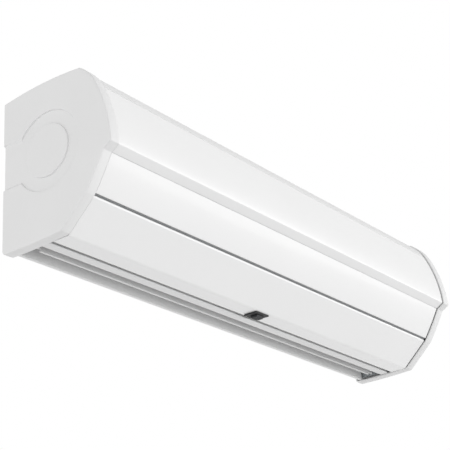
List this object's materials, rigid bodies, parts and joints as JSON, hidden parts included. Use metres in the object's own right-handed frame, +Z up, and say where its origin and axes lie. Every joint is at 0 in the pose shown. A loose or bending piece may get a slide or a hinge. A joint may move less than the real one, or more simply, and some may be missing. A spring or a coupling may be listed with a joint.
{
  "type": "air curtain",
  "caption": "Wall-hung air curtain: long curved casing between moulded end caps, with an intake grille, hinged hatch, slide latch and a discharge slot with a tilting vane.",
  "frame": {"origin": "middle of the wall bracket's flat back, in the plane of the wall", "axes": "+X along the casing to its right end as seen from the front, +Y into the wall, +Z up; the front faces -Y"},
  "size_m": [1, 0.2215, 0.2648],
  "materials": {
    "moulded_white": "fine satin moulded",
    "gloss_white": "gloss stove enamel",
    "painted_white": "satin powder coat",
    "galvanised_steel": "galvanised sheet",
    "bare_aluminium": "mill finish",
    "bright_steel": "turned, bright",
    "black_rubber": "matt",
    "seal_rubber": "matt",
    "black_plastic": "fine moulded grain",
    "grey_plastic": "smooth moulded"
  },
  "bodies": {
    "casing": {"end_cap_left": "moulded_white", "end_cap_right": "moulded_white", "intake_grille": "moulded_white", "front_cover": "gloss_white", "lower_panel": "gloss_white", "rear_casing": "painted_white", "front_rail": "painted_white", "cutoff_plate": "painted_white", "scroll_wall": "painted_white", "partition_left": "painted_white", "partition_right": "painted_white", "end_plate_left": "galvanised_steel", "end_plate_right": "galvanised_steel", "motor_body": "galvanised_steel", "motor_bracket": "galvanised_steel", "control_box": "galvanised_steel", "wall_bracket": "galvanised_steel", "casing_hanger": "galvanised_steel", "step_rail": "bare_aluminium", "top_rail": "bare_aluminium", "hinge_pin_left": "bright_steel", "hinge_pin_right": "bright_steel", "bearing_left": "bright_steel", "bearing_right": "bright_steel", "cap_screw_upper_left": "bright_steel", "cap_screw_upper_right": "bright_steel", "cap_screw_lower_left": "bright_steel", "cap_screw_lower_right": "bright_steel", "cap_screw_rear_left": "bright_steel", "cap_screw_rear_right": "bright_steel", "bearing_mount_left": "black_rubber", "bearing_mount_right": "black_rubber", "cable_grommet": "black_rubber", "hatch_seal": "seal_rubber", "vane_bush_left": "grey_plastic", "vane_bush_right": "grey_plastic", "terminal_block": "grey_plastic", "capacitor": "grey_plastic"},
    "hatch": {"hatch_panel": "gloss_white", "latch_base": "black_plastic"},
    "slider": {"latch_slider": "black_plastic"},
    "vane": {"vane_blade": "painted_white", "vane_end_left": "moulded_white", "vane_end_right": "moulded_white"},
    "fan": {"rotor_left": "bare_aluminium", "rotor_right": "bare_aluminium", "rotor_hub_left": "black_rubber", "rotor_hub_right": "black_rubber", "motor_shaft": "bright_steel", "stub_shaft_left": "bright_steel", "stub_shaft_right": "bright_steel"}
  },
  "joints": [
    {"name": "hatch_hinge", "type": "hinge", "parent": "casing", "child": "hatch", "pos_m": [0, -0.16426, -0.15593], "axis": [-1, 0, 0], "range_deg": [0, 95]},
    {"name": "latch_slide", "type": "slide", "parent": "hatch", "child": "slider", "axis": [0, -1, 0], "range_m": [0, 0.006]},
    {"name": "vane_tilt", "type": "hinge", "parent": "casing", "child": "vane", "pos_m": [0, -0.0415, -0.181], "axis": [1, 0, 0], "range_deg": [-18, 18]},
    {"name": "rotor_spin", "type": "hinge", "parent": "casing", "child": "fan", "pos_m": [0, -0.093, -0.063], "axis": [1, 0, 0], "continuous": true}
  ]
}
